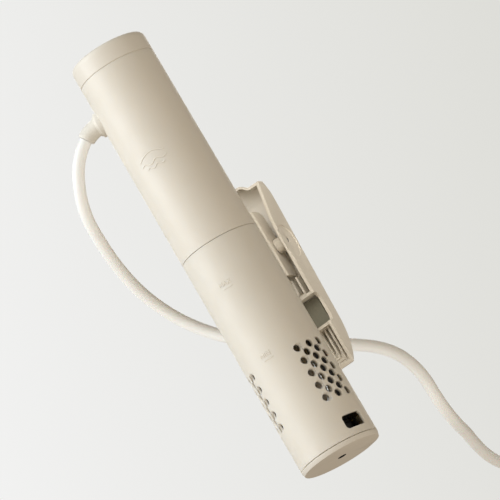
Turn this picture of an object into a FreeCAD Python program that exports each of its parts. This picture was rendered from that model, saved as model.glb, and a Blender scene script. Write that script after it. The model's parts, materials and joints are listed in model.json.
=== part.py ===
"""Sous vide circulator: a slim round tube that clips to a pot, in millimetres.

Z runs up the tube's axis from the flat bottom face, which the object stands on.
The moulded marks face -Y, the pot clip is at +Y, and the mains cord leaves on the -X side.
The outer sleeve and its bottom cap stay put; the head lifts straight up out of the sleeve.
"""
import FreeCAD, Part
import math
import os
from FreeCAD import Rotation, Vector

# Outer skin: a tube with a slight draft, widest at the bottom.
HEIGHT = 320.0
BASE_R = 29.0
DRAFT = 1.2 / 305.0
WALL_BORE_R = 26.4
HOUSING_BORE_R = 25.0
CAP_BAND_Z = 3.3
CAP_FOOT_R = 28.1
SLEEVE_Z = 3.9
SEAM_Z = 165.0
SEAM_GAP = 0.3
TOP_SEAM_Z = 305.0
CAP_EDGE_R = 4.0

# Openings in the sleeve.
CLUSTER_AZ = 62.0
HOLE_R = 2.7
HOLE_PITCH = 9.63
HOLE_LOW_Z = 34.8
HOLE_COLUMNS = (-10.0, -5.0, 0.0, 5.0, 10.0)
WINDOW_WIDTH = 17.0
WINDOW_HEIGHT = 10.0
WINDOW_Z = 13.9
WINDOW_CORNER_R = 2.5

# Wet end and drive line.
SPIGOT_R = 26.1
SPIGOT_Z = 150.0
BULKHEAD_Z = 172.0
SHAFT_R = 2.5
MOTOR_SHAFT_R = 2.0
SHAFT_JOIN_Z = 181.0
MOUNT_Z = 192.0
MOTOR_R = 17.5
MOTOR_Z = (195.0, 234.0)
MOUNT_SCREW_R = 21.0
MOTOR_SCREW_R = 12.5
ELEMENT_R = 3.0
ELEMENT_X = 12.0
ELEMENT_Y = 15.0
ELEMENT_BEND_Z = 48.0
PUMP_PLATE_Z = (21.0, 24.0)
IMPELLER_R = 17.0
BUSH_R = 5.0

# Electronics.
POWER_BOARD_Z = (240.0, 294.0)
POWER_BOARD_Y = 6.0
BOARD_THICKNESS = 1.6
DISPLAY_BOARD_Z = 311.0
PANEL_R = 20.0
LIGHT_RING_R = 22.2

# Pot clip.
CLIP_HALF_WIDTH = 30.0
CLIP_WALL = 2.2
CLIP_TOP_Z = 198.4
CLIP_BUMP = 4.6
PIVOT_Y = 43.0
PIVOT_Z = 152.0
PIN_R = 2.0
PIN_CLEARANCE = 0.06
BRACKET_HALF_WIDTH = 20.0
BRACKET_PLATE = 2.2
BRACKET_Y = (33.3, 50.0)
BRACKET_Z = (130.0, 180.0)
SADDLE_Z = (184.0, 201.0)
BRACKET_SCREW_X = 8.0
BRACKET_SCREW_Z = 194.0

# Mains cord.
CORD_D = 8.6
CORD_AZ = -75.0
CORD_EXIT_Z = 279.0
RELIEF_START_R = 29.0
RELIEF_BEND_R = 24.0
RELIEF_BEND_DEG = 33.0
RELIEF_R = 6.4
FLOOR_Z = CORD_D / 2
COIL_X = 22.0
COIL_Y = 422.0
COIL_OUTER_TURN_R = 60.0
COIL_INNER_TURN_R = 38.0
CROSSING_Z = 13.3
CORD_ROUTE = [
    (-40.9, -11.0, 275.0), (-50.8, -13.6, 267.6), (-62.6, -11.0, 250.6), (-72.0, -1.3, 234.0),
    (-78.5, 16.0, 215.5), (-83.3, 35.0, 196.3), (-83.5, 53.0, 175.8), (-75.5, 69.8, 151.5),
    (-57.0, 81.5, 127.0), (-29.0, 90.0, 104.5), (5.0, 95.0, 84.3), (33.5, 98.3, 63.3),
    (43.0, 103.0, 39.5), (38.0, 118.0, 16.0), (29.5, 151.0, 4.6), (15.0, 203.0, 4.3),
    (-2.0, 258.0, 4.3), (-17.5, 312.0, 4.3), (-29.0, 358.0, 4.3), (-36.5, 394.0, 4.3),
    (-38.0, 422.0, 4.3)]
TAIL_ROUTE = [(60.0, 372.0, 13.3), (60.3, 359.0, 12.0), (61.0, 345.0, 8.3), (61.5, 332.0, 7.2)]
PLUG_X, PLUG_Y, PLUG_Z = TAIL_ROUTE[-1]


def skin_radius(z):
    """Outer radius of the tube at height z."""
    return BASE_R - DRAFT * z


def skin(z0, z1, grow=0.0):
    """Solid of the tube's outside between two heights."""
    return Part.makeCone(skin_radius(z0) + grow, skin_radius(z1) + grow, z1 - z0, Vector(0, 0, z0))


def rod(radius, z0, z1, x=0.0, y=0.0):
    """Upright cylinder."""
    return Part.makeCylinder(radius, z1 - z0, Vector(x, y, z0))


def ring(outer_r, inner_r, z0, z1):
    """Upright ring on the tube's axis."""
    return rod(outer_r, z0, z1).cut(rod(inner_r, z0 - 1, z1 + 1))


def block(x0, x1, y0, y1, z0, z1):
    """Box between two corners."""
    return Part.makeBox(x1 - x0, y1 - y0, z1 - z0, Vector(x0, y0, z0))


def torus(major_r, minor_r, z):
    """Ring of round section, such as an O-ring."""
    return Part.makeTorus(major_r, minor_r, Vector(0, 0, z))


def outward(azimuth):
    """Level unit vector away from the axis; azimuth is counted from the front, towards +X."""
    turn = math.radians(azimuth)
    return Vector(math.sin(turn), -math.cos(turn), 0)


def sideways(azimuth):
    """Level unit vector along the skin, at right angles to outward()."""
    turn = math.radians(azimuth)
    return Vector(math.cos(turn), math.sin(turn), 0)


def bar(radius, start, end):
    """Round bar between two points."""
    along = end - start
    return Part.makeCylinder(radius, along.Length, start, along)


def join(shapes):
    """Fuse a list of solids into one."""
    result = shapes[0]
    for shape in shapes[1:]:
        result = result.fuse(shape)
    return result.removeSplitter()


def group(shapes):
    """Keep separate solids together in one node."""
    return Part.makeCompound(shapes)


def outline(points):
    """Closed wire through points; a point in square brackets is the middle of an arc."""
    edges = []
    start = Vector(*points[0])
    middle = None
    for point in points[1:] + points[:1]:
        if isinstance(point, list):
            middle = Vector(*point)
            continue
        end = Vector(*point)
        if middle is None:
            edges.append(Part.LineSegment(start, end).toShape())
        else:
            edges.append(Part.Arc(start, middle, end).toShape())
        start = end
        middle = None
    return Part.Wire(edges)


def side_prism(points, half_width):
    """Prism along X from an outline given as (y, z)."""
    placed = []
    for point in points:
        corner = (-half_width, point[0], point[1])
        placed.append(list(corner) if isinstance(point, list) else corner)
    return Part.Face(outline(placed)).extrude(Vector(2 * half_width, 0, 0))


def rounded_plate(width, height, corner_r, centre, azimuth, depth):
    """Rounded rectangle, square to outward(azimuth), pushed outwards by depth."""
    across = sideways(azimuth)
    up = Vector(0, 0, 1)
    half_w = width / 2
    half_h = height / 2
    inset = corner_r * (1 - math.sqrt(0.5))
    points = []
    for sx, sz in ((1, -1), (1, 1), (-1, 1), (-1, -1)):
        near = (half_w * sx, (half_h - corner_r) * sz)
        far = ((half_w - corner_r) * sx, half_h * sz)
        middle = ((half_w - inset) * sx, (half_h - inset) * sz)
        first, last = (near, far) if sx == sz else (far, near)
        for u, v, bend in ((*first, False), (*middle, True), (*last, False)):
            place = centre + across * u + up * v
            points.append(list(place) if bend else tuple(place))
    return Part.Face(outline(points)).extrude(outward(azimuth) * depth)


def flat_edges_at(shape, z):
    """Edges of a shape that lie wholly at height z."""
    found = []
    for edge in shape.Edges:
        box = edge.BoundBox
        if abs(box.ZMin - z) < 1e-4 and abs(box.ZMax - z) < 1e-4:
            found.append(edge)
    return found


# Sleeve, bottom cap and what stays with them.

def inlet_holes():
    """Cutters for both clusters of inlet holes: parallel bores with softened rims."""
    cutters = []
    for azimuth in (-CLUSTER_AZ, CLUSTER_AZ):
        out = outward(azimuth)
        for column, across in enumerate(HOLE_COLUMNS):
            count = 5 - column % 2
            first = HOLE_LOW_Z + (column % 2) * HOLE_PITCH / 2
            for row in range(count):
                z = first + row * HOLE_PITCH
                foot = sideways(azimuth) * across + Vector(0, 0, z)
                surface = math.sqrt(skin_radius(z) ** 2 - across ** 2)
                cutters.append(Part.makeCylinder(HOLE_R, 16, foot + out * 18, out))
                cutters.append(Part.makeCone(HOLE_R, HOLE_R + 1.5, 1.5, foot + out * (surface - 0.6), out))
    return cutters


def outlet_window(depth_start, depth, grow=0.0):
    """Cutter for the water outlet."""
    centre = outward(CLUSTER_AZ) * depth_start + Vector(0, 0, WINDOW_Z)
    return rounded_plate(WINDOW_WIDTH + 2 * grow, WINDOW_HEIGHT + 2 * grow, WINDOW_CORNER_R,
                         centre, CLUSTER_AZ, depth)


def sleeve():
    """Lower tube with two clusters of inlet holes and one outlet window."""
    top = SEAM_Z - SEAM_GAP / 2
    body = skin(SLEEVE_Z, top)
    rims = flat_edges_at(body, SLEEVE_Z) + flat_edges_at(body, top)
    body = body.makeFillet(0.35, rims)
    body = body.cut(rod(WALL_BORE_R, 0, HEIGHT))
    body = body.cut(Part.makeCompound(inlet_holes()))
    return body.cut(outlet_window(15, 20))


def bottom_cap():
    """Snap-in base with a groove under the sleeve, a central intake and a pump ring."""
    band = Part.makeCone(CAP_FOOT_R, skin_radius(CAP_BAND_Z), CAP_BAND_Z)
    band = band.makeFillet(0.5, flat_edges_at(band, 0))
    neck = rod(27.4, CAP_BAND_Z, SLEEVE_Z)
    spigot = ring(WALL_BORE_R - 0.1, 23.6, CAP_BAND_Z, 8.0)
    pump_ring = ring(21.0, 19.0, CAP_BAND_Z, 18.6)
    body = join([band, neck, spigot, pump_ring])
    body = body.cut(rod(3.0, -1, 6))
    body = body.cut(rod(18.9, CAP_BAND_Z, 20))
    body = body.cut(torus(25.4, 1.0, 5.9))
    body = body.cut(outlet_window(12, 20, 2.0))
    body = body.cut(ring(23.6, 21.0, CAP_BAND_Z, 9.0))
    pry = Part.makeBox(9, 3.0, 1.3, Vector(-4.5, -1.6, 0))
    pry.Placement = FreeCAD.Placement(Vector(14.9, 24.6, 0), Rotation(Vector(0, 0, 1), -31))
    return body.cut(pry)


def bottom_seal():
    """Soft ring between bottom cap and sleeve, cut away where water leaves."""
    return torus(25.4, 0.92, 5.9).cut(outlet_window(12, 20, 2.4))


# Head: housing, cap and electronics.

def upper_housing():
    """Upper tube: bored for the bulkhead, the cord and the bracket's screws."""
    low = SEAM_Z + SEAM_GAP / 2
    body = skin(low, TOP_SEAM_Z)
    body = body.makeFillet(0.35, flat_edges_at(body, low) + flat_edges_at(body, TOP_SEAM_Z))
    body = body.cut(rod(HOUSING_BORE_R, 0, HEIGHT))
    out = outward(CORD_AZ)
    body = body.cut(Part.makeCylinder(4.95, 12, out * 20 + Vector(0, 0, CORD_EXIT_Z), out))
    for x in (-BRACKET_SCREW_X, BRACKET_SCREW_X):
        body = body.cut(bar(1.6, Vector(x, 20, BRACKET_SCREW_Z), Vector(x, 32, BRACKET_SCREW_Z)))
    return body


def top_cap():
    """Cap with a rounded top edge, a skirt inside the housing and seats for panel and light."""
    low = TOP_SEAM_Z + SEAM_GAP
    body = skin(low, HEIGHT)
    body = body.makeFillet(CAP_EDGE_R, flat_edges_at(body, HEIGHT))
    body = body.makeFillet(0.35, flat_edges_at(body, low))
    skirt = ring(HOUSING_BORE_R - 0.1, 23.2, TOP_SEAM_Z - 6, low + 1)
    body = body.fuse(skirt)
    body = body.cut(rod(23.2, 290, HEIGHT - 3.0))
    body = body.cut(rod(LIGHT_RING_R + 0.05, HEIGHT - 1.0, HEIGHT + 1))
    body = body.cut(rod(8.0, HEIGHT - 4, HEIGHT))
    return body.removeSplitter()


def touch_panel():
    """Round touch glass, flush with the cap."""
    panel = rod(PANEL_R, HEIGHT - 0.95, HEIGHT)
    return panel.makeChamfer(0.25, flat_edges_at(panel, HEIGHT))


def light_ring():
    """Diffuser ring round the touch glass."""
    return ring(LIGHT_RING_R, PANEL_R + 0.1, HEIGHT - 0.95, HEIGHT - 0.05)


def display_board():
    """Round circuit board under the touch panel, with a notch for its wires."""
    board = rod(22.6, DISPLAY_BOARD_Z, DISPLAY_BOARD_Z + BOARD_THICKNESS)
    return board.cut(block(-4, 4, 17, 25, 300, 320))


def display_chips():
    """Processor, radio module and connector under the display board."""
    top = DISPLAY_BOARD_Z
    processor = block(-5, 5, -12, -2, top - 1.4, top)
    radio = block(-9, 3, 3, 15, top - 2.6, top)
    connector = block(7, 17, -4, 2, top - 5.0, top)
    return group([processor, radio, connector])


def inner_frame():
    """Two rails and a top ring that carry the power board inside the housing."""
    rails = []
    for side in (-1, 1):
        x0, x1 = sorted((side * 21.2, side * 23.6))
        rail = block(x0, x1, 2.5, 8.2, MOTOR_Z[0], 297)
        g0, g1 = sorted((side * 20.0, side * 22.2))
        groove = block(g0, g1, POWER_BOARD_Y - 0.1, POWER_BOARD_Y + BOARD_THICKNESS + 0.1, 238, 298)
        rails.append(rail.cut(groove))
    return join(rails + [ring(24.8, 21.2, 295.5, 298.5)])


def power_board():
    """Upright mains board held in the frame's grooves."""
    return block(-22.0, 22.0, POWER_BOARD_Y, POWER_BOARD_Y + BOARD_THICKNESS, *POWER_BOARD_Z)


def power_parts():
    """Capacitor, transformer, relay, terminals and triac on the power board."""
    front = POWER_BOARD_Y
    back = POWER_BOARD_Y + BOARD_THICKNESS
    capacitor = bar(5.5, Vector(2, front - 5.5, 244), Vector(2, front - 5.5, 262))
    capacitor = capacitor.makeFillet(0.8, capacitor.Edges[:1])
    transformer = block(-15, -5, front - 13, front, 243, 258)
    relay = block(11, 19, front - 11, front, 244, 262)
    terminals = block(4, 18, front - 8, front, 282, 291)
    triac = block(-6, 5, back, back + 4.5, 248, 263)
    fuse = bar(2.6, Vector(-12, front - 2.6, 262), Vector(2, front - 2.6, 266))
    return group([capacitor, transformer, relay, terminals, triac, fuse])


def wire_harness():
    """Three insulated wires from the wet end up to the power board."""
    wires = []
    for x in (-6.0, 0.0, 6.0):
        wires.append(rod(1.1, BULKHEAD_Z, 256, x, 21.0))
    return group(wires)


# Head: drive line and wet end.

def motor():
    """Closed motor can with a front boss and threaded holes."""
    low, high = MOTOR_Z
    can = rod(MOTOR_R, low, high)
    can = can.makeFillet(1.5, flat_edges_at(can, high))
    body = can.fuse(rod(6.5, high - 1, high + 2.5))
    for vent in range(6):
        out = outward(60 * vent)
        side = sideways(60 * vent)
        slot = rounded_plate(5, 12, 2.4, out * (MOTOR_R - 1.2) + Vector(0, 0, high - 12), 60 * vent, 4)
        body = body.cut(slot)
    body = body.cut(rod(MOTOR_SHAFT_R + 0.05, 190, 240))
    for x in (-MOTOR_SCREW_R, MOTOR_SCREW_R):
        body = body.cut(rod(1.55, low - 1, low + 4.6, x))
    return body


def motor_mount():
    """Plate on four posts that holds the motor above the bulkhead."""
    plate = rod(24.6, MOUNT_Z, MOTOR_Z[0])
    posts = [rod(2.7, BULKHEAD_Z, MOUNT_Z, *post) for post in mount_posts()]
    body = join([plate] + posts)
    body = body.cut(rod(7.5, MOUNT_Z - 1, MOTOR_Z[0] + 1))
    body = body.cut(block(-8.5, 8.5, 18.5, 26, MOUNT_Z - 1, MOTOR_Z[0] + 1))
    for x in (-MOTOR_SCREW_R, MOTOR_SCREW_R):
        body = body.cut(rod(1.6, MOUNT_Z - 1, MOTOR_Z[0] + 1, x))
    for post in mount_posts():
        body = body.cut(rod(1.3, MOUNT_Z - 8, MOTOR_Z[0] + 1, *post))
    return body


def mount_posts():
    """Plan positions of the mount's four posts."""
    reach = MOUNT_SCREW_R * math.sqrt(0.5)
    return [(x, y) for x in (-reach, reach) for y in (-reach, reach)]


def pan_screw(x, y, seat_z, length, shank_r, head_r, up=1):
    """Upright screw: a head standing on seat_z and a shank on the far side of it."""
    head = rod(head_r, min(seat_z, seat_z + up * 2.0), max(seat_z, seat_z + up * 2.0), x, y)
    head = head.makeFillet(0.6, flat_edges_at(head, seat_z + up * 2.0))
    shank = rod(shank_r, min(seat_z, seat_z - up * length), max(seat_z, seat_z - up * length), x, y)
    slot = block(x - head_r, x + head_r, y - 0.35, y + 0.35,
                 min(seat_z + up * 1.2, seat_z + up * 3), max(seat_z + up * 1.2, seat_z + up * 3))
    return head.fuse(shank).cut(slot)


def mount_screws():
    """Four screws from the mount plate into its posts."""
    return group([pan_screw(x, y, MOTOR_Z[0], 7, 1.25, 2.4) for x, y in mount_posts()])


def motor_screws():
    """Two screws up through the mount plate into the motor."""
    return group([pan_screw(x, 0, MOUNT_Z, 7, 1.5, 2.8, -1) for x in (-MOTOR_SCREW_R, MOTOR_SCREW_R)])


def wet_rods():
    """(x, y, radius) of every rod that hangs from the bulkhead."""
    rods = []
    for x in (-ELEMENT_X, ELEMENT_X):
        for y in (-ELEMENT_Y, ELEMENT_Y):
            rods.append((x, y, ELEMENT_R))
    rods.append((0.0, -21.5, 2.0))
    rods.append((-7.0, 21.8, 1.5))
    rods.append((7.0, 21.8, 1.5))
    return rods


def bulkhead():
    """Stepped plug between dry and wet ends, with a groove for its O-ring."""
    spigot = rod(SPIGOT_R, SPIGOT_Z, SEAM_Z - SEAM_GAP / 2)
    spigot = spigot.makeFillet(0.8, flat_edges_at(spigot, SPIGOT_Z))
    plug = rod(HOUSING_BORE_R - 0.1, SEAM_Z - 1, BULKHEAD_Z)
    body = spigot.fuse(plug)
    body = body.cut(rod(3.2, SPIGOT_Z - 1, BULKHEAD_Z + 1))
    body = body.cut(rod(8.0, SPIGOT_Z - 1, SPIGOT_Z + 7.0))
    body = body.cut(rod(6.5, BULKHEAD_Z - 8.0, BULKHEAD_Z + 1))
    body = body.cut(ring(30, 23.8, 156.4, 159.2))
    for x, y, radius in wet_rods():
        body = body.cut(rod(radius + 0.05, SPIGOT_Z - 1, SPIGOT_Z + 6, x, y))
    return body


def bulkhead_oring():
    """Seal between the head and the sleeve."""
    return torus(25.05, 1.2, 157.8)


def upper_bush():
    """Bearing bush in the top of the bulkhead."""
    return ring(6.45, SHAFT_R + 0.05, BULKHEAD_Z - 8.0, BULKHEAD_Z)


def shaft_seal():
    """Lip seal under the bulkhead."""
    body = ring(7.95, SHAFT_R + 0.05, SPIGOT_Z, SPIGOT_Z + 6.9)
    return body.cut(ring(6.4, 3.9, SPIGOT_Z - 1, SPIGOT_Z + 3.5))


def heating_element():
    """Two hairpin tubes, one in front of the shaft and one behind it."""
    tubes = []
    for y in (-ELEMENT_Y, ELEMENT_Y):
        legs = [rod(ELEMENT_R, ELEMENT_BEND_Z, SPIGOT_Z + 5.5, x, y) for x in (-ELEMENT_X, ELEMENT_X)]
        bend = Part.makeTorus(ELEMENT_X, ELEMENT_R, Vector(0, y, ELEMENT_BEND_Z), Vector(0, 1, 0))
        bend = bend.cut(block(-20, 20, y - 5, y + 5, ELEMENT_BEND_Z, ELEMENT_BEND_Z + 20))
        tubes.append(join([bend] + legs))
    return group(tubes)


def temperature_probe():
    """Thin steel probe with a round tip."""
    tip = Part.makeSphere(2.0, Vector(0, -21.5, 54))
    return join([rod(2.0, 54, SPIGOT_Z + 5.5, 0, -21.5), tip])


def level_pins():
    """Two water-level electrodes."""
    pins = []
    for x in (-7.0, 7.0):
        collar = rod(2.6, SPIGOT_Z - 4, SPIGOT_Z, x, 21.8)
        pins.append(join([rod(1.5, 80, SPIGOT_Z + 5.5, x, 21.8), collar]))
    return group(pins)


def shaft_carrier():
    """Two legs from the bulkhead to the pump plate, which has six water holes."""
    low, high = PUMP_PLATE_Z
    plate = rod(25.6, low, high)
    legs = []
    for side in (-1, 1):
        x0, x1 = sorted((side * 20.0, side * 24.0))
        legs.append(block(x0, x1, -3, 3, high - 1, SPIGOT_Z))
    braces = [block(-24, 24, -1.2, 1.2, z, z + 3).cut(rod(17.5, z - 1, z + 4)) for z in (70, 110)]
    body = join([plate] + legs + braces)
    for hole in range(6):
        turn = math.radians(30 + 60 * hole)
        body = body.cut(rod(4.2, low - 1, high + 1, 13.5 * math.cos(turn), 13.5 * math.sin(turn)))
    return body.cut(rod(BUSH_R + 0.05, low - 1, high + 1))


def lower_bush():
    """Flanged bush in the pump plate."""
    low, high = PUMP_PLATE_Z
    body = rod(BUSH_R, low, high + 0.05).fuse(rod(7.0, high + 0.05, high + 2))
    return body.cut(rod(SHAFT_R + 0.05, low - 1, high + 3))


# Impeller body: everything that the motor turns.

def drive_shaft():
    """Long shaft from the coupling down to the impeller."""
    shaft = rod(SHAFT_R, 9.2, SHAFT_JOIN_Z)
    return shaft.makeChamfer(0.5, flat_edges_at(shaft, 9.2))


def motor_shaft():
    """Motor's own shaft."""
    shaft = rod(MOTOR_SHAFT_R, SHAFT_JOIN_Z, MOTOR_Z[1] + 5)
    return shaft.makeChamfer(0.4, flat_edges_at(shaft, MOTOR_Z[1] + 5))


def shaft_coupling():
    """Sleeve that joins the two shafts, with a cross slot for its rubber spider."""
    body = rod(6.0, SHAFT_JOIN_Z - 7, SHAFT_JOIN_Z + 7)
    body = body.makeFillet(0.8, body.Edges[:1] + body.Edges[2:])
    body = body.cut(rod(SHAFT_R, SHAFT_JOIN_Z - 8, SHAFT_JOIN_Z))
    body = body.cut(rod(MOTOR_SHAFT_R, SHAFT_JOIN_Z, SHAFT_JOIN_Z + 8))
    return body.cut(ring(8, 5.0, SHAFT_JOIN_Z - 0.8, SHAFT_JOIN_Z + 0.8))


def impeller():
    """Hub, back disc and six swept blades."""
    hub = rod(5.0, 10.0, 19.6)
    disc = rod(IMPELLER_R, 16.6, 18.2)
    blades = []
    for blade in range(6):
        start = 60.0 * blade
        near = outward(start) * 4.0
        middle = outward(start + 14) * 10.5
        far = outward(start + 38) * (IMPELLER_R - 0.6)
        spine = Part.Arc(near, middle, far).toShape()
        blades.append(vane(spine, 1.4, 10.4, 17.0))
    body = join([hub, disc] + blades)
    return body.cut(rod(SHAFT_R, 5, 25))


def vane(spine, thickness, z0, z1):
    """Upright plate of even thickness along a flat arc."""
    half = thickness / 2
    centre = spine.Curve.Center
    arms = []
    for reach in (spine.Curve.Radius - half, spine.Curve.Radius + half):
        spots = [spine.valueAt(spine.FirstParameter + part * (spine.LastParameter - spine.FirstParameter))
                 for part in (0.0, 0.5, 1.0)]
        arms.append([centre + (spot - centre).normalize() * reach for spot in spots])
    inner, outer = arms
    edges = [Part.Arc(*inner).toShape(), Part.LineSegment(inner[2], outer[2]).toShape(),
             Part.Arc(outer[2], outer[1], outer[0]).toShape(), Part.LineSegment(outer[0], inner[0]).toShape()]
    face = Part.Face(Part.Wire(edges))
    face.translate(Vector(0, 0, z0))
    return face.extrude(Vector(0, 0, z1 - z0))


def impeller_nut():
    """Domed cap nut on the shaft's lower end."""
    flats = []
    for corner in range(6):
        turn = math.radians(60 * corner)
        flats.append((4.2 * math.cos(turn), 4.2 * math.sin(turn), 7.6))
    nut = Part.Face(outline(flats)).extrude(Vector(0, 0, 2.4))
    return nut.cut(rod(SHAFT_R, 9.2, 12))


# Pot clip.

def clip_outer():
    """Outside of the clip lever before it is hollowed."""
    points = [(31.2, 56.0), (35.0, 56.0), [47.6, 70.2], (54.0, 88.0), (61.5, 186.0), [59.0, 196.2],
              (52.6, 203.5), (48.2, 203.5), (47.2, 197.0), (36.0, 171.0), (33.4, 158.0)]
    body = side_prism(points, CLIP_HALF_WIDTH)
    corners = []
    for edge in body.Edges:
        box = edge.BoundBox
        on_side = box.XLength < 1e-6
        if on_side and box.YMax > 50 and box.ZMax < 203.4 and box.YMin > 34:
            corners.append(edge)
    return body.makeFillet(2.6, corners)


def clip_inner():
    """Hollow of the clip lever, open towards the tube."""
    points = [(20.0, 58.6), (35.2, 58.6), [46.2, 71.8], (51.8, 88.4), (59.3, 186.0), [57.2, 194.8],
              (50.0, 203.8), (50.0, 206.0), (20.0, 206.0)]
    return side_prism(points, CLIP_HALF_WIDTH - CLIP_WALL)


def below_wave(drop):
    """Space under the lever's wavy top edge, lowered by drop."""
    low = CLIP_TOP_Z - drop
    high = low + CLIP_BUMP
    mid = (low + high) / 2
    points = [(-40, 20, 40), (40, 20, 40), (40, 20, low), (23.0, 20, low), [20.5, 20, low + 0.6],
              (18.5, 20, mid), [16.5, 20, high - 0.6], (14.0, 20, high), (-14.0, 20, high),
              [-16.5, 20, high - 0.6], (-18.5, 20, mid), [-20.5, 20, low + 0.6], (-23.0, 20, low),
              (-40, 20, low)]
    return Part.Face(outline(points)).extrude(Vector(0, 60, 0))


def nested_ribs(z0, z1, steps):
    """U-shaped ribs, one inside the other; steps are (half width, front y, foot z)."""
    ribs = []
    for half, front, foot in steps:
        outer = block(-half, half, front, 70, foot, z1)
        inner = block(-half + 1.4, half - 1.4, front - 1, 71, foot + 1.4, z1 + 1)
        ribs.append(outer.cut(inner))
    return ribs


def clip_lever():
    """Lever: a hollow channel with cross webs, ribs, pad seat and pivot bosses."""
    outer = clip_outer().common(below_wave(0))
    hollow = clip_inner().common(below_wave(1.9))
    shell = outer.cut(hollow)
    inside = [block(-29, 29, 33.0, 70, z, z + 2.0) for z in (86.0, 110.0)]
    inside.append(block(-29, 29, 45.2, 47.2, 87, 111))
    inside += nested_ribs(60, 86.5, ((24.8, 37.2, 61.0), (20.8, 39.4, 63.6), (16.8, 41.6, 66.2)))
    inside += nested_ribs(111, 127.0, ((22.0, 40.0, 113.0), (17.0, 42.0, 115.4)))
    filled = [piece.common(outer) for piece in inside]
    body = join([shell] + filled)
    for side in (-1, 1):
        start = Vector(side * (BRACKET_HALF_WIDTH + 0.6), PIVOT_Y, PIVOT_Z)
        end = Vector(side * (CLIP_HALF_WIDTH - 1), PIVOT_Y, PIVOT_Z)
        body = body.fuse(bar(5.5, start, end))
        face = Vector(side * (CLIP_HALF_WIDTH - 0.7), PIVOT_Y - 0.5, PIVOT_Z - 1)
        body = body.cut(bar(12.5, face, face + Vector(side * 3, 0, 0)))
    body = body.cut(pivot_bar(PIN_R + PIN_CLEARANCE, CLIP_HALF_WIDTH + 2))
    body = body.cut(pocket_notch())
    body = body.cut(Part.makeCylinder(130, 62, Vector(0, 35.0 - 130, 52)))
    return body.removeSplitter()


def pivot_bar(radius, half_length):
    """Round bar along the clip's pivot."""
    return bar(radius, Vector(-half_length, PIVOT_Y, PIVOT_Z), Vector(half_length, PIVOT_Y, PIVOT_Z))


def pocket_notch():
    """Cutter for the step in the lever's rim beside the grip pad."""
    points = [(20.0, 88.0), (34.0, 88.0), [38.6, 89.6], (40.4, 93.6), (40.4, 104.4), [38.8, 108.3],
              (34.0, 110.0), (20.0, 110.0)]
    return side_prism(points, CLIP_HALF_WIDTH + 5)


def grip_pad():
    """Rubber pad in the middle of the lever, with two moulded dimples."""
    pad = block(-26.5, 26.5, 42.6, 45.15, 89.0, 109.0)
    upright = [edge for edge in pad.Edges if edge.BoundBox.YLength > 2]
    pad = pad.makeFillet(3.0, upright)
    for x in (-12.0, 12.0):
        pad = pad.cut(bar(2.0, Vector(x, 40, 95), Vector(x, 43.3, 95)))
    return pad


def clip_bracket():
    """Fixed box inside the lever, with a neck and a saddle on the upper housing."""
    y0, y1 = BRACKET_Y
    z0, z1 = BRACKET_Z
    half = BRACKET_HALF_WIDTH
    box = block(-half, half, y0, y1, z0, z1)
    upright = [edge for edge in box.Edges if edge.BoundBox.ZLength > 20 and edge.BoundBox.YMax < y0 + 1]
    box = box.makeFillet(1.4, upright)
    wall = BRACKET_PLATE
    inner = block(-half + wall, half - wall, y0 + wall, y1 + 1, z0 - 1, z1 - wall)
    box = box.cut(inner)
    slope = side_prism([(44.0, z1 + 1), (y1 + 1, z1 + 1), (y1 + 1, z1 - 4.5)], half + 1)
    box = box.cut(slope)
    low, high = SADDLE_Z
    neck = side_prism([(26.0, low), (31.5, low), [32.6, 182.3], (y0, 178.0), (38.0, 178.0), (38.0, z1),
                       [33.8, 186.0], (32.2, 193.0), (31.6, high), (26.0, high)], 13.0)
    body = box.fuse(neck)
    body = body.cut(skin(100, 250, 0.05))
    for x in (-BRACKET_SCREW_X, BRACKET_SCREW_X):
        body = body.cut(bar(1.6, Vector(x, 20, BRACKET_SCREW_Z), Vector(x, 40, BRACKET_SCREW_Z)))
        body = body.cut(bar(3.2, Vector(x, 31.0, BRACKET_SCREW_Z), Vector(x, 40, BRACKET_SCREW_Z)))
    body = body.cut(pivot_bar(PIN_R, half + 2))
    return body.removeSplitter()


def bracket_screws():
    """Two screws that hold the saddle to the upper housing."""
    screws = []
    for x in (-BRACKET_SCREW_X, BRACKET_SCREW_X):
        head = bar(2.8, Vector(x, 31.0, BRACKET_SCREW_Z), Vector(x, 33.0, BRACKET_SCREW_Z))
        shank = bar(1.5, Vector(x, 24.4, BRACKET_SCREW_Z), Vector(x, 31.0, BRACKET_SCREW_Z))
        slot = block(x - 3, x + 3, 32.2, 34, BRACKET_SCREW_Z - 0.35, BRACKET_SCREW_Z + 0.35)
        screws.append(head.fuse(shank).cut(slot))
    return group(screws)


def hinge_pin():
    """Pin through the lever and the bracket."""
    return pivot_bar(PIN_R, CLIP_HALF_WIDTH - 0.9)


def clip_spring():
    """Torsion spring round the hinge pin, with one leg on the bracket's front wall."""
    turns = 6
    pitch = 2.2
    wire_r = 0.8
    coil_r = 4.0
    helix = Part.makeHelix(pitch, turns * pitch, coil_r)
    section = Part.Wire(Part.makeCircle(wire_r, Vector(coil_r, 0, 0), Vector(0, 1, 0)))
    coil = Part.Wire(helix.Edges).makePipeShell([section], True, True)
    coil.Placement = FreeCAD.Placement(Vector(-turns * pitch / 2, PIVOT_Y, PIVOT_Z),
                                       Rotation(Vector(0, 1, 0), 90))
    return coil


# Mains cord.

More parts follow.
